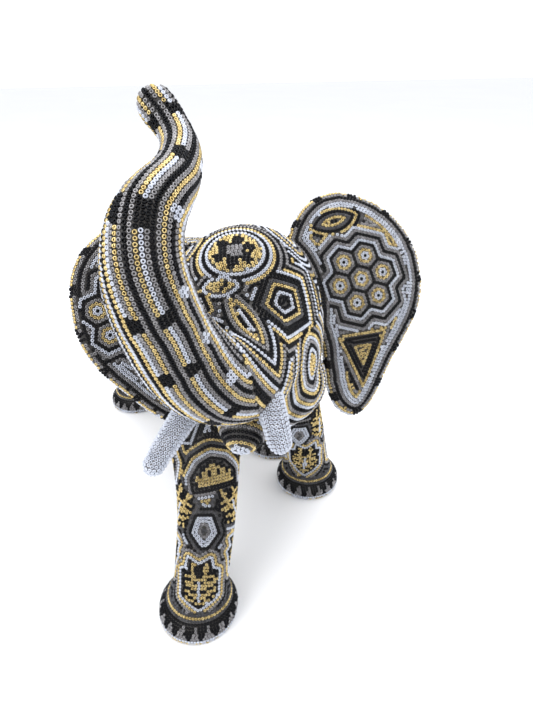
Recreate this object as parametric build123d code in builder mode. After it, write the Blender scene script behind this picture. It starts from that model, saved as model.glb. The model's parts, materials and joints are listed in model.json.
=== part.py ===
"""A beaded elephant: a doweled wooden carving under a coat of wax, set all over with glass seed beads.

The figure stands on Z = 0, faces -Y and has its own left at +X. Every outside size below is measured
over the beads, and each wooden core and wax coat is the same form, smaller by the coats around it.
"""

import os

from build123d import *

# Coats, mm
BEAD_COAT = 1.5  # how far a pressed seed bead stands out of the wax
WAX_COAT = 1.0
CORE, WAX, BEADS = WAX_COAT + BEAD_COAT, BEAD_COAT, 0.0  # how deep each layer's face lies

# Torso: Y, X, Z of a section's middle, half its width, half its height
TORSO_SECTIONS = [
    (-72, -4, 158, 16, 18),
    (-62, -4, 154, 38, 36),
    (-36, -2, 146, 54, 50),
    (5, 0, 143, 60, 55),
    (60, 0, 142, 64, 55),
    (110, 0, 140, 60, 53),
    (146, 0, 138, 42, 40),
    (158, 0, 138, 18, 18),
]

# Head, from the neck to the face
HEAD_SECTIONS = [
    (-26, -1, 168, 36, 28),
    (-50, -3, 192, 45, 46),
    (-75, -8, 207, 48, 50),
    (-100, -11, 205, 46, 51),
    (-122, -14, 197, 40, 45),
    (-140, -20, 191, 31, 31),
    (-150, -24, 190, 15, 15),
]

# Jaw and cheeks, under the head
JAW_SECTIONS = [
    (-48, -2, 165, 30, 22),
    (-75, -3, 166, 40, 27),
    (-104, -6, 168, 42, 28),
    (-126, -9, 172, 37, 25),
    (-142, -14, 176, 22, 15),
]

# Trunk: middle of each round section and its radius
TRUNK_SECTIONS = [
    ((-14, -116, 212), 25),
    ((-30, -146, 202), 23.5),
    ((-50, -157, 212), 22),
    ((-64, -160, 231), 20.5),
    ((-72, -165, 253), 18.5),
    ((-75, -169, 271), 16.8),
    ((-73, -168, 286), 14.8),
    ((-65, -160, 296), 12.6),
    ((-56, -149, 302), 10.2),
    ((-51, -136, 310), 8.2),
    ((-52, -125, 317), 7.8),
    ((-56, -118, 324), 8.4),
    ((-59, -113, 329), 6.5),
]

# Lower lip: a blunt tongue under the trunk
LIP_SECTIONS = [
    ((-16, -112, 188), 15),
    ((-26, -140, 180), 16),
    ((-34, -156, 172), 12),
    ((-38, -164, 167), 5),
]

# Legs: middle of the sole, the ankle, the knee and the hip or shoulder
LEGS = {
    "front_right": ((-61, -125, 0), (-56, -122, 30), (-46, -104, 62), (-28, -50, 135)),
    "front_left": ((65, -30, 0), (63, -30, 30), (56, -30, 62), (34, -28, 135)),
    "hind_left": ((54, 30, 0), (53, 36, 30), (50, 54, 62), (32, 92, 130)),
    "hind_right": ((-63, 153, 0), (-62, 150, 30), (-54, 136, 62), (-32, 104, 130)),
}
FOOT_RADIUS = 27.5
FOOT_RIM_HEIGHT = 9
FOOT_ROUND = 1.5
ANKLE_RADIUS = 18.5
KNEE_RADIUS = 20
HIP_RADIUS = 27
HIP_DOME = (14, 17)  # how far the rounded top goes on, and its radius there
THIGH_FULLNESS = 0.6  # share of the hip's radius halfway up the thigh
SHIN_SHARE = 0.7  # share of the ankle's radius halfway down to the foot's rim

# Ears: each is a dished plate, cut to its outline
EAR_THICKNESS = 9.0
EAR_DISH_RADIUS = 150.0
EAR_DISH_DEPTH = 50.0  # how far the outline runs through the dish, either way
LEFT_EAR = {
    "middle": (68, -90, 216),
    "facing": (-0.06, -0.86, 0.50),
    "outline": [(-47, 12), (-36, 46), (-8, 62), (22, 50), (40, 18), (36, -20), (12, -56), (-12, -84),
                (-23, -78), (-34, -30)],
}
RIGHT_EAR = {
    "middle": (-70, -72, 212),
    "facing": (0.10, -0.90, 0.42),
    "outline": [(-36, 18), (-18, 44), (8, 52), (36, 38), (47, 8), (36, -28), (27, -64), (18, -72),
                (-12, -52), (-35, -18)],
}

# Tusks: the root inside the mouth, where each leaves it, its tip and its radius
TUSKS = {
    "right": ((-44, -132, 194), (-64, -149, 183), (-84, -158, 162), 7.2),
    "left": ((-22, -140, 208), (-22, -160, 198), (-20, -177, 172), 8.0),
}

TUSK_FLARE = 1.0  # how much wider the root is
TUSK_TAPER = 0.8  # share of the radius at the tip

# Tail, hanging close behind the rump
RUMP = TORSO_SECTIONS[-1][0]
TAIL_SECTIONS = [
    ((0, RUMP - 14, 160), 7),
    ((2, RUMP + 2, 156), 6.5),
    ((5, RUMP + 13, 136), 5.2),
    ((8, RUMP + 15, 108), 4.6),
    ((9, RUMP + 12, 88), 6.5),
    ((9, RUMP + 10, 76), 4.5),
]

# Dowels that hold the carved pieces together, each from its start to its end
DOWEL_RADIUS = 5.0
SMALL_DOWEL_RADIUS = 2.0
DOWEL_FIT = 0.1  # gap around a dowel
NECK_DOWEL = ((0, -10, 160), (-2, -74, 184))
NECK_DOWEL_SPACING = 26
TRUNK_DOWEL = ((-10, -84, 208), (-31, -148, 204))
LIP_DOWEL = ((-17, -112, 184), (-31, -149, 176))
TAIL_DOWEL = ((0, RUMP - 22, 158), (1, RUMP - 4, 158))
LEG_DOWEL_REACH = 0.6  # share of the thigh that its dowel runs down
LEG_DOWEL_RISE = 2  # how far it goes on above the hip's middle
TUSK_DOWEL_START = 0.25  # share of the way from the root to the lip
TUSK_DOWEL_END = 0.3  # and from the lip to the tip
EAR_PIN_RADIUS = 1.0
EAR_PIN_ROOT = 58  # how far from the ear's middle its pins start, inside the head
EAR_PIN_END = 16  # and where they end, inside the ear
EAR_PIN_HEIGHTS = (-12, 10)


def ellipse_loft(sections, depth):
    """A smooth solid through upright ellipses across Y, with its faces depth inside their sizes."""
    last = len(sections) - 1
    with BuildPart() as form:
        for index, (y, x, z, half_width, half_height) in enumerate(sections):
            inward = depth if index == 0 else -depth if index == last else 0
            plane = Plane(origin=(x, y + inward, z), x_dir=(1, 0, 0), z_dir=(0, -1, 0))
            with BuildSketch(plane):
                Ellipse(half_width - depth, half_height - depth)
        loft()
    return form.part


def head_form(depth):
    """The skull with the broader jaw under it."""
    with BuildPart() as form:
        add(ellipse_loft(HEAD_SECTIONS, depth))
        add(ellipse_loft(JAW_SECTIONS, depth))
    return form.part


def round_loft(sections, depth):
    """A smooth solid through circles square to the line of their middles."""
    middles = [Vector(*middle) for middle, _ in sections]
    last = len(middles) - 1
    with BuildPart() as form:
        for index, (middle, (_, radius)) in enumerate(zip(middles, sections)):
            along = (middles[min(index + 1, last)] - middles[max(index - 1, 0)]).normalized()
            inward = depth if index == 0 else -depth if index == last else 0
            with BuildSketch(Plane(origin=middle + along * inward, z_dir=along)):
                Circle(radius - depth)
        loft()
    return form.part


def leg_form(points, depth):
    """A leg with a flared round foot that stands flat on Z = 0."""
    foot, ankle, knee, hip = (Vector(*point) for point in points)
    rise, dome_radius = HIP_DOME
    rim = FOOT_RADIUS - depth
    shin = rim * (1 - SHIN_SHARE) + (ANKLE_RADIUS - depth) * SHIN_SHARE
    with BuildPart() as form:
        for middle, radius in (
            (ankle, ANKLE_RADIUS),
            (ankle * 0.5 + knee * 0.5, ANKLE_RADIUS * 0.5 + KNEE_RADIUS * 0.5),
            (knee, KNEE_RADIUS),
            (knee * 0.5 + hip * 0.5, KNEE_RADIUS * (1 - THIGH_FULLNESS) + HIP_RADIUS * THIGH_FULLNESS),
            (hip, HIP_RADIUS),
            (hip + Vector(0, 0, rise), dome_radius),
        ):
            with BuildSketch(Plane(origin=middle)):
                Circle(radius - depth)
        loft()
        toward_ankle = (ankle - foot) * (1 / ankle.Z)
        for height, radius in (
            (FOOT_RIM_HEIGHT, rim),
            (FOOT_RIM_HEIGHT * 0.5 + ankle.Z * 0.5, shin),
            (ankle.Z, ANKLE_RADIUS - depth),
        ):
            with BuildSketch(Plane(origin=foot + toward_ankle * height)):
                Circle(radius)
        loft()
        with BuildSketch(Plane(origin=foot + toward_ankle * FOOT_RIM_HEIGHT)):
            Circle(rim)
        with BuildSketch(Plane(origin=foot)):
            Circle(rim)
        loft()
        fillet(form.edges().group_by(Axis.Z)[0], FOOT_ROUND)
    return form.part


def inset(outline, depth):
    """The points of a clockwise outline, each moved inwards square to the line of its neighbours."""
    points = [Vector(*point) for point in outline]
    moved = []
    for index, point in enumerate(points):
        along = (points[(index + 1) % len(points)] - points[index - 1]).normalized()
        moved.append(point + Vector(along.Y, -along.X) * depth)
    return moved


def ear_form(ear, depth):
    """A dished plate that curves back above and below its middle."""
    face = Plane(origin=ear["middle"], x_dir=(1, 0, 0), z_dir=ear["facing"])
    outer = EAR_DISH_RADIUS + EAR_THICKNESS / 2 - depth
    inner = EAR_DISH_RADIUS - EAR_THICKNESS / 2 + depth
    with BuildPart() as form:
        with BuildSketch(face):
            with BuildLine():
                Spline(*inset(ear["outline"], depth), periodic=True)
            make_face()
        extrude(amount=EAR_DISH_DEPTH, both=True)
        across = Plane(origin=face.from_local_coords((0, 0, -EAR_DISH_RADIUS)), z_dir=face.x_dir)
        with BuildSketch(across, mode=Mode.PRIVATE) as ring:
            Circle(outer)
            Circle(inner, mode=Mode.SUBTRACT)
        extrude(ring.sketch, amount=EAR_DISH_RADIUS, both=True, mode=Mode.INTERSECT)
    return form.part


def dowel(start, end, radius):
    """A round pin from one point to another."""
    start, end = Vector(*start), Vector(*end)
    with BuildPart() as pin:
        with BuildSketch(Plane(origin=start, z_dir=end - start)):
            Circle(radius)
        extrude(amount=(end - start).length)
    return pin.part


def every_form():
    """The shape of each carved region as a function of depth, first the ones that run on over others."""
    forms = {
        "torso": lambda depth: ellipse_loft(TORSO_SECTIONS, depth),
        "head": head_form,
        "trunk": lambda depth: round_loft(TRUNK_SECTIONS, depth),
        "lower_lip": lambda depth: round_loft(LIP_SECTIONS, depth),
        "left_ear": lambda depth: ear_form(LEFT_EAR, depth),
        "right_ear": lambda depth: ear_form(RIGHT_EAR, depth),
        "tail": lambda depth: round_loft(TAIL_SECTIONS, depth),
    }
    for side, (root, lip, tip, radius) in TUSKS.items():
        ends = [(root, radius + TUSK_FLARE), (lip, radius), (tip, radius * TUSK_TAPER)]
        forms[side + "_tusk"] = lambda depth, ends=ends: round_loft(ends, depth)
    for name, points in LEGS.items():
        forms[name + "_leg"] = lambda depth, points=points: leg_form(points, depth)
    return forms


def every_dowel():
    """The pins that hold the carved pieces together, as a name and its list of (start, end, radius)."""
    neck_start, neck_end = (Vector(*end) for end in NECK_DOWEL)
    sides = (Vector(-NECK_DOWEL_SPACING / 2, 0, 0), Vector(NECK_DOWEL_SPACING / 2, 0, 0))
    dowels = {
        "neck_dowels": [(neck_start + side, neck_end + side, DOWEL_RADIUS) for side in sides],
        "trunk_dowel": [(*TRUNK_DOWEL, DOWEL_RADIUS)],
        "lip_dowel": [(*LIP_DOWEL, SMALL_DOWEL_RADIUS)],
        "leg_dowels": [],
        "tail_dowel": [(*TAIL_DOWEL, SMALL_DOWEL_RADIUS)],
    }
    for _, _, knee, hip in LEGS.values():
        knee, hip = Vector(*knee), Vector(*hip)
        low = hip + (knee - hip) * LEG_DOWEL_REACH
        dowels["leg_dowels"].append((low, hip + Vector(0, 0, LEG_DOWEL_RISE), DOWEL_RADIUS))
    for name, (root, lip, tip, _) in TUSKS.items():
        root, lip, tip = Vector(*root), Vector(*lip), Vector(*tip)
        start = root + (lip - root) * TUSK_DOWEL_START
        end = lip + (tip - lip) * TUSK_DOWEL_END
        dowels[name + "_tusk_dowel"] = [(start, end, SMALL_DOWEL_RADIUS)]
    for name, ear, inward in (("left_ear_pins", LEFT_EAR, -1), ("right_ear_pins", RIGHT_EAR, 1)):
        face = Plane(origin=ear["middle"], x_dir=(1, 0, 0), z_dir=ear["facing"])
        dowels[name] = []
        for height in EAR_PIN_HEIGHTS:
            sink = -(height**2) / EAR_DISH_RADIUS / 2  # the dish falls away by this much
            start = face.from_local_coords((inward * EAR_PIN_ROOT, height, sink))
            end = face.from_local_coords((inward * EAR_PIN_END, height, sink))
            dowels[name].append((start, end, EAR_PIN_RADIUS))
    return dowels


def near(a, b):
    """Whether two boxes meet."""
    return all(
        a_low < b_high and b_low < a_high
        for a_low, a_high, b_low, b_high in zip(a.min, a.max, b.min, b.max)
    )


def without(shape, others):
    """A shape with everything that lies inside the others cut away."""
    with BuildPart() as rest:
        add(shape)
        for other in others:
            add(other, mode=Mode.SUBTRACT, clean=False)
    return rest.part


def main():
    os.makedirs("parts", exist_ok=True)
    forms = every_form()
    names = list(forms)
    cores = {name: forms[name](CORE) for name in names}
    waxes = {name: forms[name](WAX) for name in names}
    beads = {name: forms[name](BEADS) for name in names}
    boxes = {name: beads[name].bounding_box() for name in names}
    dowels = every_dowel()
    every_pin = [pin for pins in dowels.values() for pin in pins]
    bores = [dowel(start, end, radius + DOWEL_FIT) for start, end, radius in every_pin]
    bore_boxes = [bore.bounding_box() for bore in bores]

    pieces = {}
    for index, name in enumerate(names):
        beside = [other for other in names if other != name and near(boxes[other], boxes[name])]
        first = [other for other in beside if other in names[:index]]  # these run on over this one
        holes = [bore for bore, box in zip(bores, bore_boxes) if near(box, boxes[name])]
        pieces[name + "_core"] = without(cores[name], [cores[n] for n in first] + holes)
        pieces[name + "_wax"] = without(
            waxes[name], [cores[name]] + [cores[n] for n in beside] + [waxes[n] for n in first] + holes
        )
        pieces[name + "_beads"] = without(
            beads[name], [waxes[name]] + [waxes[n] for n in beside] + [beads[n] for n in first]
        )
    for name, pins in dowels.items():
        with BuildPart() as group:
            for start, end, radius in pins:
                add(dowel(start, end, radius))
        pieces[name] = group.part

    low = [min(tuple(box.min)[axis] for box in boxes.values()) for axis in range(3)]
    high = [max(tuple(box.max)[axis] for box in boxes.values()) for axis in range(3)]
    to_origin = Location((-(low[0] + high[0]) / 2, -(low[1] + high[1]) / 2, -low[2]))
    for name, piece in pieces.items():
        piece = piece.moved(to_origin)
        piece.label = name
        export_step(piece, "parts/" + name + ".step")


main()
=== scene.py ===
"""Looks of the beaded elephant: every seed bead is its own glass ring, set in rows that follow the pattern.

Lengths are in millimetres in the figure's own design frame until a mesh is made, which is in metres.
"""

import json
import math

import bpy
import numpy as np
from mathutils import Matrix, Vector
from mathutils.bvhtree import BVHTree
from mathutils.kdtree import KDTree


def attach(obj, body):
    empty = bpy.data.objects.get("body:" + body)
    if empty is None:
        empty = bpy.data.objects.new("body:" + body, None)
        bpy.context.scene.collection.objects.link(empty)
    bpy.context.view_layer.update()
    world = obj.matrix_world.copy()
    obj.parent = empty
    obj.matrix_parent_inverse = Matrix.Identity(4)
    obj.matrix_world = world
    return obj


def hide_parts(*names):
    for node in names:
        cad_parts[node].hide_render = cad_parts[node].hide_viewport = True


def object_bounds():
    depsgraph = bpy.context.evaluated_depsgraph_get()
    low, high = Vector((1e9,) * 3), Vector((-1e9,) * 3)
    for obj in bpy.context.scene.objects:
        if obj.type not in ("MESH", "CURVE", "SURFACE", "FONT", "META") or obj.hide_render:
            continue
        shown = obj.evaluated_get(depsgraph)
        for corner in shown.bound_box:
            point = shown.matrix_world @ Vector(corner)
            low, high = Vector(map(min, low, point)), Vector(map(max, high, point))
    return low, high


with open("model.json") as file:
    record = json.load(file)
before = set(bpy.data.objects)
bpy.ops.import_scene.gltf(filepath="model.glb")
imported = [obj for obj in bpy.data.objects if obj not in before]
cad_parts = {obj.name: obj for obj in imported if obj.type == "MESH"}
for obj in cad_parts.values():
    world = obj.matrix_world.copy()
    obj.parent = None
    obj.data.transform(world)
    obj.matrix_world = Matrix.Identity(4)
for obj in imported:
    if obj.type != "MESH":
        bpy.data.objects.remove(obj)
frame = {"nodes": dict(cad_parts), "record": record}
cad_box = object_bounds()
rng = np.random.default_rng(11)

# Sizes, mm
BEAD_PITCH = 2.1  # along a row
ROW_PITCH = 2.0  # from row to row
BEAD_RADIUS = 1.03
HOLE_RADIUS = 0.38
SKIN_HEIGHT = 1.75  # of the beads' middles over the wood
SKIN_VOXEL = 1.4
SUNK = 4.0  # a smoothed point nearer than this under a core's face is put back on it
SEAM = 1.2  # left open where the trunk's first and last rows meet
TUSK_SEAM = 1.0
TIGHT_PITCH = 1.9  # of rows on the tusks and in the ears' hexagons
CLASH = 0.8 * BEAD_PITCH  # beads nearer than this to an earlier one are left out
# the share of the way to its neighbours' middle that a point moves in each round of smoothing
BODY_SMOOTHING, EAR_SMOOTHING, LAST_SMOOTHING = 0.5, 0.1, 0.3
WAX_DEPTH = 0.15  # of the wax's face under the beads' middles
SOLE_HEIGHT = 1.2  # the soles' flat faces, below this, get no beads
FILL_GAP = 1.78  # from any bead to where one more is pressed in
MM = 0.001

# Where the figure's design numbers lie in the frame: its front right foot is at (-61, -125) in them
FOOT = np.array([-61.0, -125.0, 0.0])
mounts = {m["name"]: m for m in frame["record"]["mounts"]}
ORIGIN = np.array(mounts["sole_front_right"]["pos_m"]) / MM - FOOT

BLACK, GREY, GOLD, WHITE, SMOKE = range(5)
LETTERS = {"k": BLACK, "g": GREY, "o": GOLD, "w": WHITE, "s": SMOKE}


def colours(letters):
    """A row of bead colours from one letter each."""
    return np.array([LETTERS[letter] for letter in letters])


def unit(v):
    v = np.asarray(v, float)
    return v / np.maximum(np.linalg.norm(v, axis=-1, keepdims=True), 1e-9)


# ---------------------------------------------------------------- the carved skin


def node_mesh(name):
    """Vertices in mm and triangles of a CAD node."""
    mesh = frame["nodes"][name].data
    mesh.calc_loop_triangles()
    points = np.empty(len(mesh.vertices) * 3)
    mesh.vertices.foreach_get("co", points)
    tris = np.empty(len(mesh.loop_triangles) * 3, int)
    mesh.loop_triangles.foreach_get("vertices", tris)
    return points.reshape(-1, 3) / MM - ORIGIN, tris.reshape(-1, 3)


def make_mesh(name, points, faces):
    """A mesh object from points in mm and a list or array of faces."""
    mesh = bpy.data.meshes.new(name)
    faces = np.asarray(faces)
    count, sides = faces.shape
    mesh.vertices.add(len(points))
    mesh.vertices.foreach_set("co", ((points + ORIGIN) * MM).astype(np.float32).ravel())
    mesh.loops.add(count * sides)
    mesh.loops.foreach_set("vertex_index", faces.astype(np.int32).ravel())
    mesh.polygons.add(count)
    mesh.polygons.foreach_set("loop_start", np.arange(0, count * sides, sides, dtype=np.int32))
    mesh.update(calc_edges=True)
    ob = bpy.data.objects.new(name, mesh)
    bpy.context.scene.collection.objects.link(ob)
    return ob


def bake_map(ob):
    """A UV map with a square of its own for each face, in rows."""
    count = len(ob.data.polygons)
    across = math.ceil(math.sqrt(count))
    cell = np.stack([np.arange(count) % across, np.arange(count) // across], 1)[:, None]
    corners = np.array([(0.1, 0.1), (0.9, 0.1), (0.9, 0.9), (0.1, 0.9)])[None]
    layer = ob.data.uv_layers.new(name="OFBake")
    layer.uv.foreach_set("vector", ((cell + corners) / across).astype(np.float32).ravel())


def read_quads(ob):
    """Points in mm and quads of an object with its modifiers applied."""
    evaluated = ob.evaluated_get(bpy.context.evaluated_depsgraph_get())
    mesh = evaluated.to_mesh()
    points = np.empty(len(mesh.vertices) * 3)
    mesh.vertices.foreach_get("co", points)
    loops = np.empty(len(mesh.loops), int)
    mesh.loops.foreach_get("vertex_index", loops)
    sides = np.empty(len(mesh.polygons), int)
    mesh.polygons.foreach_get("loop_total", sides)
    starts = np.empty(len(mesh.polygons), int)
    mesh.polygons.foreach_get("loop_start", starts)
    evaluated.to_mesh_clear()
    starts = starts[sides == 4]
    return points.reshape(-1, 3) / MM - ORIGIN, loops[starts[:, None] + np.arange(4)]


REGIONS = sorted(n[: -len("_core")] for n in frame["nodes"] if n.endswith("_core"))


def search_tree(points):
    """A tree that finds the points nearest to a place, by their numbers."""
    tree = KDTree(len(points))
    for i, p in enumerate(points.tolist()):
        tree.insert(p, i)
    tree.balance()
    return tree


def region_finder():
    """A search tree over every core, with the region of each of its triangles."""
    points, tris, regions, start = [], [], [], 0
    for index, region in enumerate(REGIONS):
        p, t = node_mesh(region + "_core")
        points.append(p)
        tris.append(t + start)
        regions += [index] * len(t)
        start += len(p)
    points, tris = np.concatenate(points), np.concatenate(tris)
    tree = BVHTree.FromPolygons(points.tolist(), tris.tolist())
    return points, tris, tree, np.array(regions)


def vertex_normals(points, quads):
    """Normals of the vertices, from the faces round each."""
    a, b, c, d = (points[quads[:, i]] for i in range(4))
    face = np.cross(c - a, d - b)
    normals = np.zeros_like(points)
    for i in range(4):
        np.add.at(normals, quads[:, i], face)
    return unit(normals)


def smooth(points, quads, strength, rounds):
    """Points drawn towards the middle of their neighbours, each by its own strength."""
    edges = np.concatenate([quads[:, [0, 1]], quads[:, [1, 2]], quads[:, [2, 3]], quads[:, [3, 0]]])
    counts = np.bincount(edges.ravel(), minlength=len(points))[:, None]
    for _ in range(rounds):
        total = np.zeros_like(points)
        np.add.at(total, edges[:, 0], points[edges[:, 1]])
        np.add.at(total, edges[:, 1], points[edges[:, 0]])
        points = points + (total / counts - points) * strength[:, None]
    return points


def carved_skin():
    """One skin over the whole carving at the face of the wax: points, quads, normals and regions."""
    core_points, core_tris, tree, core_regions = region_finder()
    ob = make_mesh("carving", core_points, core_tris)
    remesh = ob.modifiers.new("union", "REMESH")
    remesh.mode = "VOXEL"
    remesh.voxel_size = SKIN_VOXEL * MM
    points, quads = read_quads(ob)
    bpy.data.objects.remove(ob)
    region = np.array([core_regions[tree.find_nearest(p)[2]] for p in points.tolist()])
    everywhere = np.ones(len(points))
    thin = np.isin(region, [REGIONS.index(n) for n in REGIONS if "ear" in n])
    low = points[:, 2].min()
    points = smooth(points, quads, np.where(thin, EAR_SMOOTHING, BODY_SMOOTHING), 20)
    # what sank is put back on the cores, and what rose in the creases stays as a fillet
    for i, p in enumerate(points.tolist()):
        place, out, _, gap = tree.find_nearest(p)
        if (Vector(p) - place).dot(out) < 0 and gap < SUNK:
            points[i] = place
    points = smooth(points, quads, BODY_SMOOTHING * everywhere, 3)
    points = points + vertex_normals(points, quads) * SKIN_HEIGHT
    points = smooth(points, quads, LAST_SMOOTHING * everywhere, 2)
    points[:, 2] = np.maximum(points[:, 2], low)
    return points, quads, vertex_normals(points, quads), region


P, Q, N, REGION = carved_skin()
T = np.concatenate([Q[:, [0, 1, 2]], Q[:, [0, 2, 3]]])
print("skin", len(P), "points")


def of_region(*names):
    return np.isin(REGION, [REGIONS.index(n) for n in names])


# ---------------------------------------------------------------- shapes, as signed distances in a flat chart


def polygon(sides, size, turn=0.0, stretch=1.0):
    """Distance to a regular polygon; its rings keep their corners."""

    def distance(x, y):
        x, y = x, y / stretch
        angles = math.radians(turn) + np.arange(sides) * 2 * math.pi / sides
        return np.max([x * math.cos(a) + y * math.sin(a) for a in angles], axis=0) - size

    return distance


def circle(radius):
    return lambda x, y: np.hypot(x, y) - radius


def lens(half_width, half_height):
    """A pointed oval, as two arcs meet."""
    radius = (half_height**2 + half_width**2) / (2 * half_width)
    away = radius - half_width
    return lambda x, y: np.hypot(np.abs(x) + away, y) - radius


def star(points, outer, inner, turn=0.0):
    """Distance to a star with straight sides."""

    def distance(x, y):
        radius, angle = np.hypot(x, y), np.arctan2(y, x) - math.radians(turn)
        step = 2 * math.pi / points
        within = np.abs((angle + step / 2) % step - step / 2)
        tip, dent = np.array([outer, 0.0]), inner * np.array([math.cos(step / 2), math.sin(step / 2)])
        along = unit(dent - tip)
        across = np.array([along[1], -along[0]])
        return (radius * np.cos(within) - tip[0]) * across[0] + radius * np.sin(within) * across[1]

    return distance


def seven(pitch):
    """The middles of seven cells, one in the middle of six."""
    return [(0, 0)] + [
        (pitch * math.sin(math.radians(a)), pitch * math.cos(math.radians(a))) for a in range(0, 360, 60)
    ]


def honeycomb(pitch):
    """Single black beads on the middles of seven cells and along their shared outlines."""
    side = pitch / math.sqrt(3)
    turns = [math.radians(a) for a in range(0, 360, 60)]
    corners = [side * np.array([math.cos(a), math.sin(a)]) for a in turns]
    places = [(u, v, BLACK) for u, v in seven(pitch)]
    for middle in seven(pitch):
        for a, b in zip(corners, corners[1:] + corners[:1]):
            places += [(*(middle + a + (b - a) * share), BLACK) for share in (0, 0.25, 0.5, 0.75)]
    return places


def hexes(pitch, size):
    """Seven hexagons of a size, at a pitch."""
    cell = polygon(6, size, 90)

    def distance(x, y):
        return np.min([cell(x - u, y - v) for u, v in seven(pitch)], axis=0)

    return distance


def outline(half):
    """Distance to a closed outline that is the same left and right, from its right half, bottom to top."""
    corners = np.array(list(half) + [(-x, y) for x, y in reversed(half) if x], float)

    def distance(x, y):
        away, inside = np.full(x.shape, np.inf), np.zeros(x.shape, bool)
        for (ax, ay), (bx, by) in zip(corners, np.roll(corners, -1, axis=0)):
            ex, ey = bx - ax, by - ay
            share = np.clip(((x - ax) * ex + (y - ay) * ey) / (ex * ex + ey * ey), 0, 1)
            away = np.minimum(away, np.hypot(x - ax - share * ex, y - ay - share * ey))
            crossed = (ay > y) != (by > y)
            inside ^= crossed & (x < ax + ex * (y - ay) / (ey if ey else 1))
        return np.where(inside, -away, away)

    return distance


SHIELD = outline([(0, -15), (13, -7), (13, 11), (8.5, 12), (7.5, 19), (0, 14.5)])
KITE = outline([(2, -11), (9, -2), (5, 9)])
ARCH = outline([(15, -8), (15, 0), (8, 8), (0, 11)])


# ---------------------------------------------------------------- charts: flat coordinates on the skin


CHART_PATCH = 8.0  # the skin this far round a point gives its tangent plane


def tangent_chart(centre, up):
    """Flat coordinates round a point of the skin that keep distances from it."""
    nearest = np.argmin(((P - np.array(centre, float)) ** 2).sum(1))
    middle = P[nearest]
    around = ((P - middle) ** 2).sum(1) < CHART_PATCH**2
    out = unit(N[around].mean(0))
    y_axis = unit(np.array(up, float) - out * np.dot(up, out))
    x_axis = np.cross(y_axis, out)

    def chart(points):
        d = points - middle
        a, b, h = d @ x_axis, d @ y_axis, d @ out
        flat, far = np.hypot(a, b), np.linalg.norm(d, axis=-1)
        lean = np.arctan2(np.abs(h), np.maximum(flat, 1e-6))
        grow = far * lean / np.maximum(np.sin(lean), 1e-6)
        grow = np.where(lean < 1e-3, far, grow) / np.maximum(flat, 1e-6)
        return a * grow, b * grow

    chart.out, chart.middle, chart.x_axis, chart.y_axis = out, middle, x_axis, y_axis
    return chart


class Line:
    """A smooth line through points, with coordinates along it, round it and away from it."""

    def __init__(self, points, front):
        points = np.array(points, float)
        fine = []
        padded = np.concatenate([2 * points[:1] - points[1:2], points, 2 * points[-1:] - points[-2:-1]])
        for i in range(1, len(padded) - 2):
            a, b, c, d = padded[i - 1 : i + 3]
            for t in np.arange(0, 1, 0.05):
                bend, twist = 2 * a - 5 * b + 4 * c - d, 3 * b - a - 3 * c + d
                fine.append(0.5 * (2 * b + (c - a) * t + bend * t**2 + twist * t**3))
        self.points = np.array(fine)
        self.along = np.concatenate([[0], np.cumsum(np.linalg.norm(np.diff(self.points, axis=0), axis=1))])
        self.tangents = unit(np.gradient(self.points, axis=0))
        fronts, ahead = [], np.array(front, float)
        for tangent in self.tangents:
            ahead = unit(ahead - tangent * np.dot(ahead, tangent))
            fronts.append(ahead)
        self.fronts = np.array(fronts)
        self.sides = np.cross(self.tangents, self.fronts)

    def __call__(self, points):
        """Round (mm, from the front towards the side), along, away."""
        nearest = np.concatenate(
            [
                np.argmin(((part[:, None] - self.points[None]) ** 2).sum(-1), axis=1)
                for part in np.array_split(points, max(1, len(points) // 4000))
            ]
        )
        d = points - self.points[nearest]
        f, s = (d * self.fronts[nearest]).sum(1), (d * self.sides[nearest]).sum(1)
        along = self.along[nearest] + (d * self.tangents[nearest]).sum(1)
        away = np.hypot(f, s)
        return np.arctan2(s, f) * away, along, away


# ---------------------------------------------------------------- rows of beads

ROWS_BELOW = 500  # more rows than any pattern has on its negative side
beads = {"at": [], "normal": [], "colour": []}


def trace(segments, count):
    """Chains of point numbers from pairs of them."""
    beside = [[] for _ in range(count)]
    for a, b in segments.tolist():
        beside[a].append(b)
        beside[b].append(a)
    used = bytearray(count)
    ends = [i for i in range(count) if len(beside[i]) == 1]
    for start in ends + list(range(count)):
        if used[start]:
            continue
        chain = [start]
        used[start] = 1
        current = start
        while True:
            ahead = next((n for n in beside[current] if not used[n]), None)
            if ahead is None:
                break
            used[ahead] = 1
            chain.append(ahead)
            current = ahead
        closed = len(chain) > 2 and start in beside[chain[-1]]
        yield chain, closed


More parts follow.
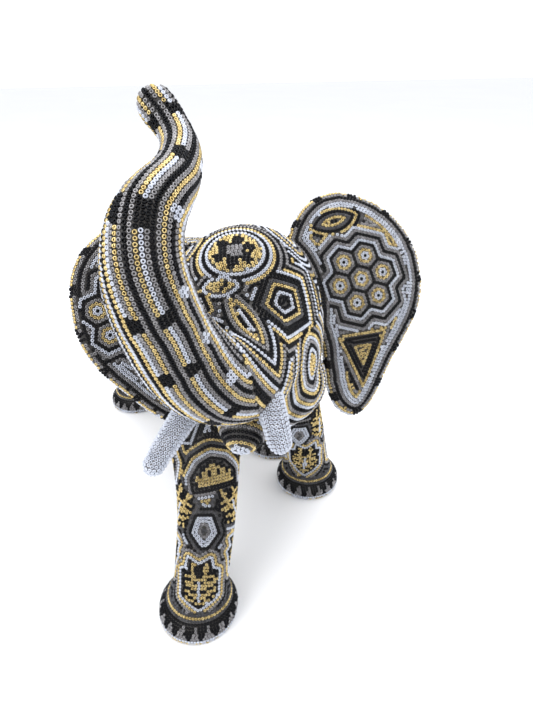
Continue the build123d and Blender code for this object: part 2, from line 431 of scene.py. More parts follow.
def level_rows(field, inside, pitch=ROW_PITCH):
    """Beads along the lines where a field is half a row off a whole number of rows.

    Gives their places, normals and row numbers.
    """
    tris = T[inside[T].any(1)]
    tris = tris[np.isfinite(field[tris]).all(1)]
    below = np.floor(field[tris] / pitch - 0.5).astype(int)
    one = below.max(1) - below.min(1) == 1
    tris, below = tris[one], below[one]
    if not len(tris):
        return np.zeros((0, 3)), np.zeros((0, 3)), np.zeros(0, int)
    level = below.max(1)
    value = (level + 0.5) * pitch
    keys, places, normals = [], [], []
    for i, j in ((0, 1), (1, 2), (2, 0)):
        crossing = below[:, i] != below[:, j]
        a, b = np.minimum(tris[:, i], tris[:, j]), np.maximum(tris[:, i], tris[:, j])
        rise = np.where(field[b] == field[a], 1, field[b] - field[a])
        share = np.clip((value - field[a]) / rise, 0, 1)[:, None]
        # a number for each crossing of a row and an edge, the same in both of the edge's triangles
        keys.append(np.where(crossing, ((level + ROWS_BELOW) * len(P) + a) * len(P) + b, -1))
        places.append(P[a] * (1 - share) + P[b] * share)
        normals.append(N[a] * (1 - share) + N[b] * share)
    keys, places, normals = np.stack(keys, 1), np.stack(places, 1), np.stack(normals, 1)
    crossing = keys >= 0
    two = crossing.sum(1) == 2
    keys, places, normals, level, crossing = keys[two], places[two], normals[two], level[two], crossing[two]
    unique, first, number = np.unique(keys[crossing], return_index=True, return_inverse=True)
    segments = number.reshape(-1, 2)
    nodes, node_normals = places[crossing][first], normals[crossing][first]
    node_level = np.repeat(level, 2)[first]
    at, out, rows = [], [], []
    for chain, closed in trace(segments, len(unique)):
        if len(chain) < 3:
            continue
        if closed:
            chain = chain + chain[:1]
        line, line_normals = nodes[chain], node_normals[chain]
        steps_along = np.concatenate([[0], np.cumsum(np.linalg.norm(np.diff(line, axis=0), axis=1))])
        length = steps_along[-1]
        count = int(round(length / BEAD_PITCH))
        if count < 1:
            continue
        offset = rng.random() if closed else 0.5
        wanted = (np.arange(count) + offset) * length / count
        at.append(np.stack([np.interp(wanted, steps_along, line[:, c]) for c in range(3)], 1))
        out.append(np.stack([np.interp(wanted, steps_along, line_normals[:, c]) for c in range(3)], 1))
        rows.append(np.full(count, node_level[chain[0]]))
    if not at:
        return np.zeros((0, 3)), np.zeros((0, 3)), np.zeros(0, int)
    return np.concatenate(at), unit(np.concatenate(out)), np.concatenate(rows)


def lay(field, inside, paint, pitch=ROW_PITCH):
    """Adds the beads of one pattern; paint gives their colours from places and rows."""
    at, out, rows = level_rows(field, inside, pitch)
    if len(at):
        beads["at"].append(at)
        beads["normal"].append(out)
        beads["colour"].append(paint(at, rows))


MOTIF_REACH = 90.0  # from its middle
MOTIF_LEAN = -0.5  # the most that the skin may turn away from a motif's middle, as a cosine


class Motif:
    """A shape on the skin with rings of beads round it.

    core and rings are its colours, inwards and outwards from the shape's edge. bias lets it win room from its
    neighbours. inner draws what is inside it, in level rows. dots are single beads, each (x, y, colour).
    """

    def __init__(self, centre, up, shape, core, rings, bias=0.0, inner=None, pitch=ROW_PITCH, dots=()):
        self.chart = tangent_chart(centre, up)
        self.shape, self.core, self.rings = shape, colours(core), colours(rings)
        self.bias, self.inner, self.pitch, self.dots = bias, inner, pitch, dots

    def field(self, inside):
        f = np.full(len(P), np.inf)
        near = ((P - self.chart.middle) ** 2).sum(1) < MOTIF_REACH**2
        near &= inside & (N @ self.chart.out > MOTIF_LEAN)
        f[near] = self.shape(*self.chart(P[near]))
        return f

    def paint(self, at, rows):
        """Rings outwards from the shape's edge, and its core colours inwards from it."""
        out = self.rings[np.clip(rows, 0, None) % len(self.rings)]
        within = self.core[np.clip(-1 - rows, 0, len(self.core) - 1)]
        return np.where(rows >= 0, out, within)

    def lay(self, f, mine, inside):
        """Its beads: single dots, rings, and level rows where something is drawn inside it."""
        x, y = self.chart(P)
        for u, v, dot_colour in self.dots:
            gap = np.where(mine, np.hypot(x - u, y - v), np.inf)
            i = gap.argmin()
            place = P[i] + self.chart.x_axis * (u - x[i]) + self.chart.y_axis * (v - y[i])
            beads["at"].append(place[None])
            beads["normal"].append(N[[i]])
            beads["colour"].append(np.array([dot_colour]))
        if self.inner is None:
            lay(np.where(inside, f, np.inf), mine, self.paint, self.pitch)
            return
        drawn = mine & (f < -ROW_PITCH)
        lay(np.where(inside & (f < 1), y, np.inf), drawn, lambda at, rows: self.inner(*self.chart(at)))
        lay(np.where(inside, f, np.inf), mine & ~drawn, self.paint)


def lay_motifs(motifs, inside, others=()):
    """Shares the skin out among motifs, nearest first, and lays each one's rings.

    others are further (field, bias, paint) patterns that compete with them, nearest to their own zero line.
    """
    fields = [m.field(inside) for m in motifs] + [f for f, _, _ in others]
    biases = [m.bias for m in motifs] + [b for _, b, _ in others]
    gaps = fields[: len(motifs)] + [np.abs(f) for f, _, _ in others]
    scores = np.stack([gap - bias for gap, bias in zip(gaps, biases)])
    owner = np.argmin(scores, axis=0)
    reach = np.isfinite(scores.min(0))
    for index, f in enumerate(fields):
        mine = inside & reach & (owner == index)
        if index < len(motifs):
            motifs[index].lay(f, mine, inside)
        else:
            lay(np.where(inside, f, np.inf), mine, others[index - len(motifs)][2])


# ---------------------------------------------------------------- the patterns of each region


PETAL_TIP, PETAL_ROOT = 2.4, 1.9  # lengths of a petal's narrow tip, and of where petals join
PETAL_SPAN, TIP_SPAN = -0.75, 0.2  # cos(count * angle) at a petal's sides: along it, and at its tip


def petals(count, core_radius, tip_radius, turn=0.0):
    """A medallion: black petals round a grey middle, on gold."""

    def inner(x, y):
        radius, angle = np.hypot(x, y), np.arctan2(y, x) - math.radians(turn)
        span = np.where(radius < tip_radius - PETAL_TIP, PETAL_SPAN, TIP_SPAN)
        petal = (radius < core_radius + PETAL_ROOT) | (radius < tip_radius) & (np.cos(count * angle) > span)
        return np.where(radius < core_radius, GREY, np.where(petal, BLACK, GOLD))

    return inner


def feather(x, y):
    """Slanting gold barbs and two prongs either side of a white shaft, on black."""
    a = np.abs(x)
    slant, spacing, width, phase = 0.45, 5.6, 3.4, 31
    barb = ((y - slant * a + phase) % spacing < width) & (a < 10.5) & (y < 8)
    prong = (np.abs(a - 4.2) < 1.5) & (y > 2) & (y < 15)
    shaft = (a < 1.3) & (y > -9) & (y < 4)
    return np.where(shaft, WHITE, np.where(barb | prong, GOLD, BLACK))


def crown(x, y):
    """A gold crown of five fingers, on black."""
    a = np.abs(x)
    spacing, half_width = 5.8, 2.1
    finger = (np.abs((a + spacing / 2) % spacing - spacing / 2) < half_width) & (y < 8 - 0.55 * a)
    return np.where(((y < -1) | finger) & (a < 12.5) & (y > -6), GOLD, BLACK)


def spots(x, y):
    """Small dark marks on gold."""
    return np.where((np.floor(x / 2.2) + np.floor(y / 1.9)) % 4 < 1, BLACK, GOLD)


TRUNK_MIDDLES = [
    (-14, -116, 212), (-30, -146, 202), (-50, -157, 212), (-64, -160, 231), (-72, -165, 253),
    (-75, -169, 271), (-73, -168, 286), (-65, -160, 296), (-56, -149, 302), (-51, -136, 310),
    (-52, -125, 317), (-56, -118, 324), (-59, -113, 329),
]
TRUNK_STRIPES = colours("gwkowkowgogkgowgkgogkgowgkgkgowgk")
TRUNK_MIDDLE_STRIPE = 12
# how far the rows have turned round the trunk at places along it, mm
TRUNK_TWIST = ((60, 85, 105, 120, 135, 150, 175), (14, 17, 15.6, 13, 7, 1.4, 0))
BAR_SPACING, BAR_START, BAR_HALF_LENGTH = 29.5, 117.0, 3.4
FLOWER_SPACING, FLOWER_START, FLOWER_RADIUS, FLOWER_ROW = 28.0, 67.0, 2.9, 8
LEFT_EYE = (-1.7, -130, 230.7)
# the face meets the trunk at a plane through the trunk's middle, below the brow
FACE_EDGE, FACE_SIDE, BROW = (-36.6, -122.6, 233.3), (0.969, -0.05, 0.241), 245.0


def on_face():
    """The head, with the left side of the trunk's root."""
    beside = (P - np.array(FACE_EDGE)) @ np.array(FACE_SIDE) > 0
    return of_region("head") | of_region("trunk") & beside & (P[:, 2] < BROW)


def from_nearest(along, start, spacing):
    """How far places are from the nearest of a run of evenly spaced ones."""
    return np.abs((along - start + spacing / 2) % spacing - spacing / 2)


def trunk():
    inside = of_region("trunk") & ~on_face()
    line = Line(TRUNK_MIDDLES, (0.304, 0.149, -0.941))
    round_, along, away = line(P)
    seam = np.abs(round_) > math.pi * away - SEAM
    field = np.where(inside & ~seam, round_ - np.interp(along, *TRUNK_TWIST), np.inf)

    def paint(at, rows):
        colour = TRUNK_STRIPES[(rows + TRUNK_MIDDLE_STRIPE) % len(TRUNK_STRIPES)]
        along = line(at)[1]
        bar = from_nearest(along, BAR_START, BAR_SPACING) < BAR_HALF_LENGTH
        barred = (rows >= 1) & (rows <= 3) | (rows >= -5) & (rows <= -3)
        across = (rows - FLOWER_ROW) * ROW_PITCH
        flower = np.hypot(across, from_nearest(along, FLOWER_START, FLOWER_SPACING)) < FLOWER_RADIUS
        return np.where(flower, WHITE, np.where(bar & barred, BLACK, colour))

    lay(field, inside, paint)


def tusk(name, points):
    inside = of_region(name)
    round_, along, away = Line(points, (-0.3, -0.9, 0.3))(P)
    field = np.where(inside & (np.abs(round_) < math.pi * away - TUSK_SEAM), round_, np.inf)
    lay(field, inside, lambda at, rows: np.full(len(at), WHITE), TIGHT_PITCH)


def banded(name, points, letters):
    """Rings of colour one after another along a line."""
    inside = of_region(name)
    stripes = colours(letters)
    _, along, _ = Line(points, (0, -1, 0))(P)
    field = np.where(inside, along, np.inf)
    lay(field, inside, lambda at, rows: stripes[rows % len(stripes)])


def head():
    inside = on_face()
    eye_rings = "wkoskkwokgk"
    cheek_rings = "wkgwokgowkgo"
    across = (0.94, -0.34, 0)
    motifs = [
        Motif((-20, -105, 252), (0.2, 0.9, 0.4), circle(14.6), "o", "wkwokgkgkowk",
              inner=petals(6, 4.6, 12.0, 15)),
        Motif(LEFT_EYE, (0.2, 0.3, 0.9), polygon(5, 3.8, 80), "k", eye_rings, bias=4),
        Motif((-24.9, -139.2, 228.3), (0.23, -0.88, -0.41), lens(1.0, 8), "w", "kogkwkogkwogk", bias=1,
              dots=[(0, v, WHITE) for v in range(-7, 8, 2)]),
        Motif((-44, -116, 226), (-0.2, 0.3, 0.9), polygon(5, 3.8, 100), "k", eye_rings, bias=2),
        Motif((11.8, -139, 195.4), (0, 0.1, 1), lens(4.2, 8), "oo", cheek_rings, bias=3),
        Motif((-50, -118, 190), (0, 0.1, 1), lens(4, 6), "oo", cheek_rings, bias=2),
        Motif((20, -84, 250), (0.3, 0.6, 0.6), lens(4, 7), "o", "wkgokwk", inner=spots),
        Motif((-46, -76, 246), (0, 0.3, 1), lens(4, 7), "ok", "wkgokwk"),
        Motif((-32.7, -118.6, 239.3), across, lens(4.4, 8.5), "o", "wkgkwokg", inner=spots),
        Motif((-4, -48, 240), (0, 0.7, 0.7), polygon(6, 5), "okw", "kowkgokwk"),
        Motif((36, -60, 205), (0, 0.3, 1), polygon(4, 5, 45), "wko", "kgokwk"),
        Motif((-52, -55, 205), (0, 0.3, 1), polygon(4, 5, 45), "wko", "kgokwk"),
        Motif((-5, -95, 142), (0, 1, 0), star(6, 12, 6), "owk", "kwogk"),
        Motif((30, -90, 160), (0, 0.3, 1), polygon(6, 4), "okw", "kwogkok"),
        Motif((-45, -70, 160), (0, 0.3, 1), polygon(6, 4), "okw", "kwogkok"),
    ]
    lay_motifs(motifs, inside)


RIM_FRONT = colours("gkgwwogkgkwkogk")
RIM_EDGE = colours("owgkgowkgkwogkgwogk")  # over the edge and on to the back
RIM_BAR_SPACING, RIM_BAR_HALF_LENGTH = 26.0, 3.3
CORNER = 0.7  # the skin's lean where an ear's face turns into its edge
LONGEST_STEP = 6.0  # between neighbours on the rim; a longer one is a jump across it
RIM_BIAS = 5.0  # how far the rim's rows win room from the motifs
EAR_THROUGH = 12.0  # from a point of an ear's face to its back
HEX_PITCH, HEX_SIZE = 15.2, 6.65


def ear(side, cluster, cluster_up, triangle, crescent, crescent_up, facing):
    inside = of_region(side + "_ear")
    facing = unit(facing)
    lean = N @ facing
    edges = np.concatenate([Q[:, [0, 1]], Q[:, [1, 2]], Q[:, [2, 3]], Q[:, [3, 0]]])
    past = lean - CORNER
    a, b = edges[inside[edges].all(1) & (past[edges[:, 0]] * past[edges[:, 1]] < 0)].T
    share = (past[a] / (past[a] - past[b]))[:, None]
    root = edges[inside[edges[:, 0]] != inside[edges[:, 1]]]
    rim_points = np.concatenate([P[a] * (1 - share) + P[b] * share, (P[root[:, 0]] + P[root[:, 1]]) / 2])
    rim = search_tree(rim_points)
    e = np.full(len(P), np.inf)
    e[inside] = [rim.find(p)[2] for p in P[inside].tolist()]
    e = np.where(past > 0, e, -e)

    # a tape round the rim, for bars at even spaces
    x_axis = unit(np.cross((0, 0, 1), facing))
    from_middle = rim_points - rim_points.mean(0)
    order = np.argsort(np.arctan2(from_middle @ np.cross(facing, x_axis), from_middle @ x_axis))
    steps = np.linalg.norm(np.diff(rim_points[order], axis=0), axis=1)
    tape = np.empty(len(rim_points))
    tape[order] = np.concatenate([[0], np.cumsum(np.where(steps < LONGEST_STEP, steps, 0))])
    spacing = tape.max() / round(tape.max() / RIM_BAR_SPACING)

    def paint(at, rows):
        front = RIM_FRONT[np.clip(rows, 0, len(RIM_FRONT) - 1)]
        edge = RIM_EDGE[np.clip(-1 - rows, 0, len(RIM_EDGE) - 1)]
        place = tape[[rim.find(p)[1] for p in at.tolist()]]
        bar = (from_nearest(place, 0, spacing) < RIM_BAR_HALF_LENGTH) & (rows >= -3) & (rows <= 0)
        return np.where(bar, BLACK, np.where(rows >= 0, front, edge))

    behind, low_behind = (np.array(place) - facing * EAR_THROUGH for place in (cluster, triangle))
    motifs = [
        Motif(cluster, cluster_up, hexes(HEX_PITCH, HEX_SIZE), "gow", "kwgkgwogk", bias=4.0,
              pitch=TIGHT_PITCH, dots=honeycomb(HEX_PITCH)),
        Motif(triangle, (0, 0.3, 0.95), polygon(3, 2.2, 90, 1.3), "ow", "okkogk", bias=3.0),
        Motif(crescent, crescent_up, lens(3.4, 10), "ok", "skok", bias=0.5),
        Motif(behind, (0, 0.5, 0.86), star(8, 15, 10), "kowokwk", "kwkogkwk", bias=1.0),
        Motif(low_behind, (0, 0.3, 0.95), polygon(4, 3, 45), "ok", "wkgok", bias=1.0),
    ]
    lay_motifs(motifs, inside, [(e, RIM_BIAS, paint)])


LEGS = {
    "front_right_leg": ((-61, -125, 0), (-56, -122, 30), (-46, -104, 62), (-28, -50, 135)),
    "front_left_leg": ((65, -30, 0), (63, -30, 30), (56, -30, 62), (34, -28, 135)),
    "hind_left_leg": ((54, 30, 0), (53, 36, 30), (50, 54, 62), (32, 92, 130)),
    "hind_right_leg": ((-63, 153, 0), (-62, 150, 30), (-54, 136, 62), (-32, 104, 130)),
}
FOOT_BANDS = colours("owkkkkkksoss")
TEETH, TOOTH_PITCH = 18, 9.6
TOOTH_HALF_WIDTHS = np.array([0, 0, 3.5, 3.0, 2.2, 1.3, 0.6, 0, 0, 0, 0, 0])
FOOT_TOP = 20.5
FOOT_RIM_TOP, FLARE_STRETCH = 9.0, 1.2  # rows above the rim climb the flare, which is longer than it is high
LEG_RADIUS = 21.0


def leg(name, middles):
    inside = of_region(name)
    foot = inside & (P[:, 2] < FOOT_TOP)
    middles = np.array(middles, float)

    def axis(z):
        return np.stack([np.interp(z, middles[:, 2], middles[:, c]) for c in range(2)], -1)

    # up the rim, then in along the flare
    over_rim = (P[:, 2] - FOOT_RIM_TOP) * FLARE_STRETCH
    climb = np.where(P[:, 2] < FOOT_RIM_TOP, P[:, 2], FOOT_RIM_TOP + over_rim)
    sole = inside & (N[:, 2] < -0.7) & (P[:, 2] < 3)

    def foot_paint(at, rows):
        colour = FOOT_BANDS[np.clip(rows, 0, len(FOOT_BANDS) - 1)]
        around = np.arctan2(*(at[:, :2] - axis(at[:, 2])).T[::-1]) / (2 * math.pi)
        half_width = TOOTH_HALF_WIDTHS[np.clip(rows, 0, len(TOOTH_HALF_WIDTHS) - 1)]
        tooth = np.abs(around * TEETH % 1 - 0.5) * TOOTH_PITCH < half_width
        return np.where(tooth, GREY, colour)

    def on_leg(z, degrees):
        """A point of the leg's skin at a height and a direction seen from above, 0 at the front."""
        a = math.radians(degrees - 90)
        x, y = axis(np.array(z, float))
        return (x + LEG_RADIUS * math.cos(a), y + LEG_RADIUS * math.sin(a), z)

    up = (0, 0, 1)
    motifs = []
    for turn in (0, 125, 245):
        motifs += [
            Motif(on_leg(38, turn - 24), up, SHIELD, "k", "wogksks", bias=1, inner=feather),
            Motif(on_leg(69, turn - 19), up, KITE, "wwgs", "kskwok"),
            Motif(on_leg(97, turn - 2), up, ARCH, "k", "kgwoksok", inner=crown),
            Motif(on_leg(75, turn - 80), up, circle(5), "kwo", "kwogkwokgk"),
            Motif(on_leg(76, turn + 42), up, SHIELD, "k", "swoksks", bias=-3, inner=feather),
            Motif(on_leg(124, turn + 50), up, polygon(5, 5), "okw", "kwogkwk"),
        ]
    lay_motifs(motifs, inside & ~foot)
    lay(np.where(inside & ~sole, climb, np.inf), foot & ~sole, foot_paint)


def torso():
    inside = of_region("torso")
    sun = petals(8, 3.4, 11.5, 0)
    up = (0, 0, 1)
    motifs = []
    for side in (-1, 1):
        motifs += [
            Motif((side * 60, 22, 150), up, circle(14), "o", "wgkwokgskowkgok", inner=sun),
            Motif((side * 62, 78, 145), up, hexes(13.6, 6.6), "kowk", "wgkwkogkwk", bias=3),
            Motif((side * 50, 128, 150), up, star(8, 14, 9), "kowok", "kwkogkwk"),
            Motif((side * 46, -22, 170), up, polygon(6, 6), "wok", "kwokgkwok"),
            Motif((side * 52, 50, 108), up, polygon(4, 6, 45), "owk", "kwogkwk"),
            Motif((side * 40, 0, 112), up, lens(4, 9), "ok", "kwogkwk"),
            Motif((side * 36, 128, 112), up, lens(4, 9), "ok", "kwogkwk"),
            Motif((side * 44, 50, 184), up, polygon(5, 5), "kwo", "kwogskwk"),
            Motif((side * 42, 104, 182), up, polygon(5, 5), "kwo", "kwogskwk"),
            Motif((side * 26, 18, 92), (0, 1, 0), polygon(6, 5), "kwo", "kwogskwk"),
            Motif((side * 24, -60, 150), up, polygon(5, 4), "owk", "kwogkwk"),
        ]
    for y in (-18, 34, 84, 130):
        motifs.append(
            Motif((0, y, 200), (0, 1, 0), circle(11), "o", "wgkwokgkow", inner=petals(6, 3.4, 9.2), bias=1)
        )
    motifs += [
        Motif((0, 158, 135), up, star(8, 12, 7), "kowok", "kwkogkwk"),
        Motif((0, 52, 87), (0, 1, 0), star(6, 13, 7), "okwk", "kwogkwk"),
        Motif((0, 108, 88), (0, 1, 0), polygon(6, 6), "okwk", "kwogkwk"),
        Motif((-4, -66, 128), up, polygon(4, 6, 45), "owk", "kwogkwk"),
    ]
    lay_motifs(motifs, inside)


trunk()
tusk("right_tusk", [(-44, -132, 194), (-64, -149, 183), (-84, -158, 162)])
tusk("left_tusk", [(-22, -140, 208), (-22, -160, 198), (-20, -177, 172)])
banded("lower_lip", [(-16, -112, 188), (-26, -140, 180), (-34, -156, 172), (-38, -164, 167)],
       "kkgokwgokwkgokwgokokkkkwogkkowgg")
banded("tail", [(0, 144, 160), (2, 160, 156), (5, 171, 136), (8, 173, 108), (9, 170, 88), (9, 168, 76)],
       "kowgkgwo")
head()
ear("left", (65.4, -92, 220), (0.36, 0.5, 0.79), (61, -109, 178), (56, -67, 250), (0.98, 0.09, 0.17),
    (-0.06, -0.86, 0.50))
ear("right", (-78, -79, 214), (-0.3, 0.5, 0.8), (-62, -95, 176), (-70, -60, 249), (0.98, -0.1, 0.1),
    (0.10, -0.90, 0.42))
for leg_name, leg_middles in LEGS.items():
    leg(leg_name, leg_middles)
torso()


# ---------------------------------------------------------------- beads: clashes out, gaps filled, rings made


def without_clashes(at):
    """Which beads stay when those that lie in an earlier one are left out."""
    tree = search_tree(at)
    kept = np.ones(len(at), bool)
    for i, p in enumerate(at.tolist()):
        if kept[i]:
            for _, other, _ in tree.find_range(p, CLASH):
                if other > i:
                    kept[other] = False
    return kept


def places_to_fill(tree):
    """Places and normals for one more bead wherever the beads in a tree leave room."""
    spots = np.concatenate([P, (P[T[:, 0]] + P[T[:, 1]]) / 2, (P[T[:, 1]] + P[T[:, 2]]) / 2])
    normals = np.concatenate([N, N[T[:, 0]], N[T[:, 1]]])
    ground = (spots[:, 2] < SOLE_HEIGHT) & (normals[:, 2] < -0.5)
    spots, normals = spots[~ground], normals[~ground]
    room = np.array([tree.find(p)[2] for p in spots.tolist()])
    free = np.flatnonzero(room > FILL_GAP)
    cells, chosen = {}, []
    for i in free[np.argsort(room[free])]:
        p = spots[i]
        cell = tuple((p // FILL_GAP).astype(int))
        near = (
            q
            for dx in (-1, 0, 1)
            for dy in (-1, 0, 1)
            for dz in (-1, 0, 1)
            for q in cells.get((cell[0] + dx, cell[1] + dy, cell[2] + dz), ())
        )
        if all(((p - q) ** 2).sum() > FILL_GAP * FILL_GAP for q in near):
            cells.setdefault(cell, []).append(p)
            chosen.append(i)
    return spots[chosen], normals[chosen]


def settle():
    """Every bead's place, normal, colour and region: clashes left out, gaps filled in the nearest colour."""
    at = np.concatenate(beads["at"])
    kept = without_clashes(at)
    at = at[kept]
    normal = np.concatenate(beads["normal"])[kept]
    colour = np.concatenate(beads["colour"]).astype(int)[kept]
    tree = search_tree(at)
    more, more_normals = places_to_fill(tree)
    more_colours = np.array([colour[tree.find(p)[1]] for p in more.tolist()])
    print("beads in rows", len(at), "fillers", len(more))
    at = np.concatenate([at, more])
    normal = np.concatenate([normal, more_normals])
    colour = np.concatenate([colour, more_colours])
    skin = search_tree(P)
    region = np.array([REGION[skin.find(p)[1]] for p in at.tolist()])
    return at, normal, colour, region


SEGMENTS = 8
TILT_SPREAD, SIZE_SPREAD = 0.07, 0.025  # from bead to bead, as shares
LIFT, LIFT_SPREAD = 0.18, 0.07
# a ring's section: away from its hole's middle, and along the hole
PROFILE = np.array([(BEAD_RADIUS, -0.1), (0.72, 0.62), (HOLE_RADIUS, 0.0), (0.66, -0.55)])


def bead_mesh(name, at, normal, colour, materials):
    """One mesh of separate glass rings, each square to the skin."""
    count, rings = len(at), len(PROFILE)
    axis = unit(normal + rng.normal(0, TILT_SPREAD, (count, 3)))
    helper = np.where(np.abs(axis[:, 2:3]) < 0.9, [[0.0, 0.0, 1.0]], [[1.0, 0.0, 0.0]])
    u = unit(np.cross(axis, helper))
    v = np.cross(axis, u)
    turn = rng.random(count) * 2 * math.pi
    angles = turn[:, None] + np.arange(SEGMENTS) * 2 * math.pi / SEGMENTS
    size = 1 + rng.normal(0, SIZE_SPREAD, count)
    lift = LIFT + rng.normal(0, LIFT_SPREAD, count)
    around = u[:, None] * np.cos(angles)[..., None] + v[:, None] * np.sin(angles)[..., None]
    points = (
        (at + axis * lift[:, None])[:, None, None]
        + around[:, :, None] * PROFILE[:, 0][None, None, :, None] * size[:, None, None, None]
        + axis[:, None, None] * PROFILE[:, 1][None, None, :, None] * size[:, None, None, None]
    )
    s, r = np.meshgrid(np.arange(SEGMENTS), np.arange(rings), indexing="ij")
    s2, r2 = (s + 1) % SEGMENTS, (r + 1) % rings
    quads = np.stack([s * rings + r, s2 * rings + r, s2 * rings + r2, s * rings + r2], -1).reshape(-1, 4)
    faces = (quads[None] + (np.arange(count) * SEGMENTS * rings)[:, None, None]).reshape(-1, 4)
    ob = make_mesh(name, points.reshape(-1, 3), faces)
    ob.data.polygons.foreach_set("material_index", np.repeat(colour, len(quads)).astype(np.int32))
    ob.data.polygons.foreach_set("use_smooth", np.ones(len(faces), bool))
    for material in materials:
        ob.data.materials.append(material)
    bake_map(ob)
    return ob


# ---------------------------------------------------------------- materials


def new_material(name, **sockets):
    material = bpy.data.materials.new(name)
    material.use_nodes = True
    shader = material.node_tree.nodes["Principled BSDF"]
    for socket, value in sockets.items():
        shader.inputs[socket.replace("_", " ")].default_value = value
    return material, material.node_tree, shader


def vary(tree, shader, dark, light, scale, rough=None):
    """Colour, and roughness if given, that differ from bead to bead and a little within each."""
    coordinates = tree.nodes.new("ShaderNodeTexCoord")
    cells = tree.nodes.new("ShaderNodeTexVoronoi")
    cells.inputs["Scale"].default_value = scale
    tree.links.new(coordinates.outputs["Object"], cells.inputs["Vector"])
    ramp = tree.nodes.new("ShaderNodeValToRGB")
    ramp.color_ramp.elements[0].color = (*dark, 1)
    ramp.color_ramp.elements[1].color = (*light, 1)
    tree.links.new(cells.outputs["Color"], ramp.inputs["Fac"])
    tree.links.new(ramp.outputs["Color"], shader.inputs["Base Color"])
    if rough:
        spread = tree.nodes.new("ShaderNodeMapRange")
        spread.inputs["To Min"].default_value, spread.inputs["To Max"].default_value = rough
        tree.links.new(cells.outputs["Color"], spread.inputs["Value"])
        tree.links.new(spread.outputs["Result"], shader.inputs["Roughness"])


def bead_materials():
    """One glass for each bead colour, in the order of the colour numbers."""
    made = []
    for name, dark, light, metal, rough, specular in (
        ("black_glass", (0.001, 0.001, 0.002), (0.005, 0.006, 0.009), 0.0, (0.08, 0.18), 0.16),
        ("grey_glass", (0.17, 0.165, 0.17), (0.36, 0.35, 0.36), 0.3, (0.16, 0.30), 0.5),
        ("gold_glass", (0.46, 0.33, 0.12), (0.80, 0.64, 0.31), 0.7, (0.20, 0.34), 0.5),
        ("white_glass", (0.46, 0.49, 0.57), (0.66, 0.69, 0.77), 0.0, (0.18, 0.30), 0.5),
        ("smoke_glass", (0.045, 0.045, 0.050), (0.13, 0.13, 0.14), 0.2, (0.14, 0.28), 0.3),
    ):
        material, tree, shader = new_material(name, Metallic=metal, Specular_IOR_Level=specular)
        vary(tree, shader, dark, light, 470.0, rough)
        made.append(material)
    return made


def matte(name, dark, light, scale, rough):
    """A material of one roughness, whose colour varies."""
    material, tree, shader = new_material(name, Roughness=rough)
    vary(tree, shader, dark, light, scale)
    return material


# ---------------------------------------------------------------- pieces


MOST_BEADS = 3000  # in one mesh

glass = bead_materials()
at, normal, colour, region = settle()
for index, name in enumerate(REGIONS):
    mine = np.flatnonzero(region == index)
    mine = mine[np.argsort(at[mine] @ np.array([0.2, 0.3, 1.0]))]
    parts = max(1, math.ceil(len(mine) / MOST_BEADS))
    for number, part in enumerate(np.array_split(mine, parts)):
        piece = bead_mesh(f"{name}_bead_rows_{number + 1}", at[part], normal[part], colour[part], glass)
        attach(piece, "root")
        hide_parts(name + "_beads")
        "white_beads" if "tusk" in name else "patterned_beads"

wax = matte("campeche_wax", (0.004, 0.003, 0.002), (0.014, 0.009, 0.006), 260.0, 0.45)
pale_wax = matte("bleached_wax", (0.10, 0.09, 0.09), (0.18, 0.17, 0.17), 260.0, 0.5)
quad_region = REGION[Q[:, 0]]
for index, name in enumerate(REGIONS):
    faces = Q[quad_region == index]
    used, faces = np.unique(faces, return_inverse=True)
    piece = make_mesh(name + "_wax_coat", P[used] - N[used] * WAX_DEPTH, faces.reshape(-1, 4))
    piece.data.polygons.foreach_set("use_smooth", np.ones(len(piece.data.polygons), bool))
    piece.data.materials.append(pale_wax if "tusk" in name else wax)
    bake_map(piece)
    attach(piece, "root")
    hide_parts(name + "_wax")

wood = matte("carved_wood", (0.42, 0.28, 0.15), (0.55, 0.38, 0.22), 90.0, 0.6)
for name, node in frame["nodes"].items():
    if name.endswith("_core") or "dowel" in name or "pins" in name:
        for s in node.material_slots:
            s.material = wood


# ---------------------------------------------------------------- floor, light and camera


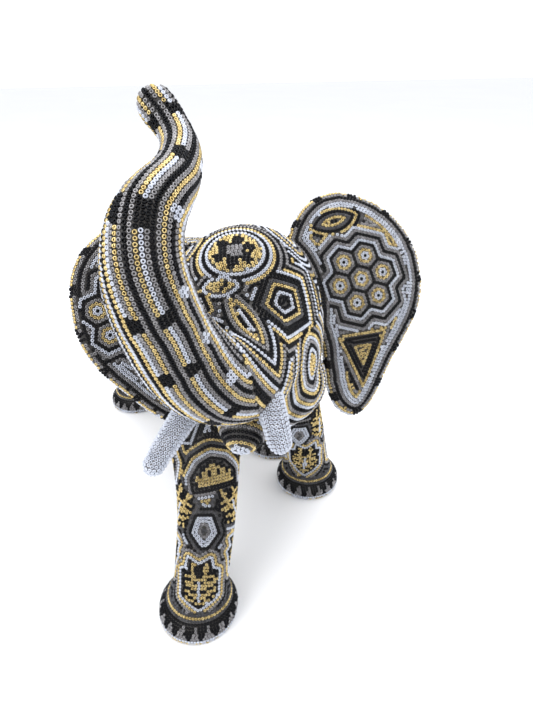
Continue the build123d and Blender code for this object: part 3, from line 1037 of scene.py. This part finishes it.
FLOOR_COLOUR = (0.86, 0.86, 0.87)
FLOOR_GAP = 0.0002  # m, under the soles


def floor():
    size = 6.0
    mesh = bpy.data.meshes.new("floor")
    z = float(cad_box[0].z) - FLOOR_GAP
    corners = [(-size, -size, z), (size, -size, z), (size, size, z), (-size, size, z)]
    mesh.from_pydata(corners, [], [(0, 1, 2, 3)])
    ob = bpy.data.objects.new("floor", mesh)
    lighter = tuple(c * 1.02 for c in FLOOR_COLOUR)
    ob.data.materials.append(matte("pale_floor", FLOOR_COLOUR, lighter, 3.0, 0.8))
    bpy.context.scene.collection.objects.link(ob)


def area_light(name, place, target, size, power):
    light = bpy.data.lights.new(name, "AREA")
    light.size, light.energy = size, power
    ob = bpy.data.objects.new(name, light)
    ob.location = place
    ob.rotation_euler = (Vector(target) - Vector(place)).to_track_quat("-Z", "Y").to_euler()
    bpy.context.scene.collection.objects.link(ob)


floor()
centre = (cad_box[0] + cad_box[1]) / 2
area_light("overhead", centre + Vector((0.1, 0.1, 1.3)), centre, 1.2, 16)
area_light("left_window", centre + Vector((-1.1, -0.6, 0.7)), centre, 0.8, 9)
area_light("right_fill", centre + Vector((1.1, -0.9, 0.5)), centre, 0.9, 6)
world = bpy.data.worlds.new("room")
world.use_nodes = True
world.node_tree.nodes["Background"].inputs["Color"].default_value = (0.95, 0.97, 1.0, 1)
world.node_tree.nodes["Background"].inputs["Strength"].default_value = 1.15
bpy.context.scene.world = world
bpy.context.scene.view_settings.view_transform = "Standard"

camera_data = bpy.data.cameras.new("camera")
camera_data.lens = 27.0
camera_data.clip_start = 0.01
camera = bpy.data.objects.new("camera", camera_data)
camera.location = Vector(((np.array([-97.0, -365.0, 345.0]) + ORIGIN) * MM).tolist())
heading, dip = math.radians(-20), math.radians(30)
ahead = Vector((-math.sin(heading) * math.cos(dip), math.cos(heading) * math.cos(dip), -math.sin(dip)))
camera.rotation_euler = ahead.to_track_quat("-Z", "Y").to_euler()
bpy.context.scene.collection.objects.link(camera)
bpy.context.scene.camera = camera
